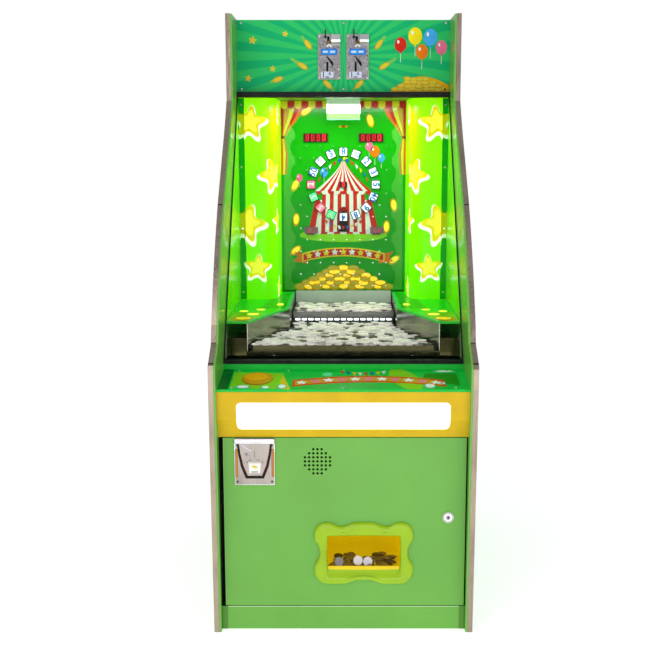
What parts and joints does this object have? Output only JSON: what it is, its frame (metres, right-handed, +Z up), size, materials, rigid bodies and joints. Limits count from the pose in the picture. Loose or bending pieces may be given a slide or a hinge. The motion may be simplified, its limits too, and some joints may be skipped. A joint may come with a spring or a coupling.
{
  "type": "coin pusher machine",
  "caption": "Upright single-seat coin pusher cabinet with glazed play stage, sliding pusher, coin acceptors, lit shelf, prize tray, service door and rear door.",
  "frame": {"origin": "middle of the cabinet's footprint, on the floor", "axes": "+Z up, front faces -Y, +X to the right as a player sees it"},
  "size_m": [0.65, 0.95, 1.57],
  "materials": {
    "green_laminate": "satin green melamine laminate on board",
    "carcass_board": "satin green melamine laminate, inner and rear boards",
    "stainless_trim": "brushed stainless angle",
    "printed_marquee": "glossy printed acrylic on board",
    "printed_stage": "glossy printed acrylic, lit from behind",
    "printed_shelf": "glossy printed acrylic",
    "black_channel": "black anodised channel",
    "black_rubber": "matt rubber",
    "clear_glass": "clear tempered glass",
    "clear_acrylic": "clear acrylic",
    "yellow_housing": "smooth yellow powder coat",
    "opal_acrylic": "opal acrylic diffuser, lit",
    "tube_white": "opal lamp tube",
    "display_red": "dark red display window",
    "tile_white": "opal number lens",
    "peg_steel": "bright steel pins",
    "chute_white": "white moulded plastic",
    "mirror_steel": "polished stainless sheet",
    "bed_steel": "polished stainless bed",
    "grey_steel": "grey satin steel",
    "token_metal": "stamped nickel-plated steel token",
    "cast_plate": "textured cast zinc face",
    "black_plastic": "black moulded plastic",
    "screw_steel": "bright screws",
    "motor_grey": "grey enamel",
    "zinc_sheet": "zinc-plated sheet",
    "circuit_green": "circuit board",
    "lamp_strip": "white lamp lenses",
    "crank_steel": "machined steel",
    "lock_chrome": "polished cam lock",
    "speaker_black": "black speaker frame",
    "ticket_steel": "satin stainless faceplate",
    "bezel_lime": "glossy yellow-green moulding",
    "tray_yellow": "yellow moulded tray"
  },
  "bodies": {
    "cabinet": {"side_panel_left": "green_laminate", "side_panel_right": "green_laminate", "edge_trim_left": "stainless_trim", "edge_trim_right": "stainless_trim", "base_board": "carcass_board", "top_board": "carcass_board", "ceiling_board": "carcass_board", "back_panel": "carcass_board", "kick_panel": "green_laminate", "door_frame": "carcass_board", "marquee_panel": "printed_marquee", "glass_top_channel": "black_channel", "glass_bottom_channel": "black_channel", "glass_gaskets": "black_rubber", "front_glass": "clear_glass", "shelf_panel": "printed_shelf", "light_box_housing": "yellow_housing", "light_box_diffuser": "opal_acrylic", "light_tubes": "tube_white", "wing_panel_left": "printed_stage", "wing_panel_right": "printed_stage", "backboard": "printed_stage", "score_displays": "display_red", "number_tiles": "tile_white", "peg_pins": "peg_steel", "side_guides": "clear_acrylic", "coin_chute": "chute_white", "wiper_bar": "grey_steel", "deck_left": "printed_stage", "deck_right": "printed_stage", "bed_side_rails": "mirror_steel", "lower_bed": "bed_steel", "win_chute": "mirror_steel", "tokens_bed": "token_metal", "coin_acceptor_left": "cast_plate", "coin_acceptor_right": "cast_plate", "panel_screws": "screw_steel", "gear_motor": "motor_grey", "cash_box": "zinc_sheet", "power_supply": "zinc_sheet", "control_board": "circuit_green", "power_inlet": "black_plastic", "hinge_pins": "screw_steel"},
    "pusher": {"pusher": "grey_steel", "pusher_lights": "lamp_strip", "tokens_pusher": "token_metal"},
    "crank": {"crank_disc": "crank_steel"},
    "lever_left": {"return_lever_left": "black_plastic"},
    "lever_right": {"return_lever_right": "black_plastic"},
    "service_door": {"front_door": "green_laminate", "door_lock": "lock_chrome", "speaker": "speaker_black", "ticket_plate": "ticket_steel", "ticket_dispenser": "zinc_sheet", "tray_bezel": "bezel_lime", "prize_tray": "tray_yellow"},
    "lock_cam": {"door_lock_cam": "lock_chrome"},
    "feed_roller": {"ticket_roller": "black_rubber"},
    "back_door": {"rear_door": "carcass_board"},
    "back_lock": {"rear_lock_cam": "lock_chrome"}
  },
  "joints": [
    {"name": "pusher_slide", "type": "slide", "parent": "cabinet", "child": "pusher", "axis": [0, 1, 0], "range_m": [-0.025, 0.025]},
    {"name": "crank_turn", "type": "hinge", "parent": "cabinet", "child": "crank", "pos_m": [0, 0.245, 0.653], "axis": [0, 0, 1], "range_deg": [-90, 90]},
    {"name": "return_lever_left_turn", "type": "hinge", "parent": "cabinet", "child": "lever_left", "pos_m": [-0.052, 0.18, 1.521], "axis": [0, 1, 0], "range_deg": [0, 18], "stiffness_Nm_per_rad": 0.02},
    {"name": "return_lever_right_turn", "type": "hinge", "parent": "cabinet", "child": "lever_right", "pos_m": [0.03, 0.18, 1.521], "axis": [0, 1, 0], "range_deg": [0, 18], "stiffness_Nm_per_rad": 0.02},
    {"name": "door_hinge", "type": "hinge", "parent": "cabinet", "child": "service_door", "pos_m": [-0.288, -0.42, 0.28], "axis": [0, 0, -1], "range_deg": [0, 85]},
    {"name": "door_lock_turn", "type": "hinge", "parent": "service_door", "child": "lock_cam", "pos_m": [0.261, -0.415, 0.296], "axis": [0, 1, 0], "range_deg": [0, 90]},
    {"name": "ticket_roller_spin", "type": "hinge", "parent": "service_door", "child": "feed_roller", "pos_m": [-0.219, -0.385, 0.44], "axis": [1, 0, 0], "continuous": true},
    {"name": "rear_door_hinge", "type": "hinge", "parent": "cabinet", "child": "back_door", "pos_m": [0.2185, 0.4675, 0.6], "axis": [0, 0, -1], "range_deg": [0, 110]},
    {"name": "rear_lock_turn", "type": "hinge", "parent": "back_door", "child": "back_lock", "pos_m": [-0.185, 0.465, 0.6], "axis": [0, -1, 0], "range_deg": [0, 90]}
  ],
  "couplings": [
    {"joint": "crank_turn", "follows": "pusher_slide", "rad_per_m": 62.83}
  ]
}
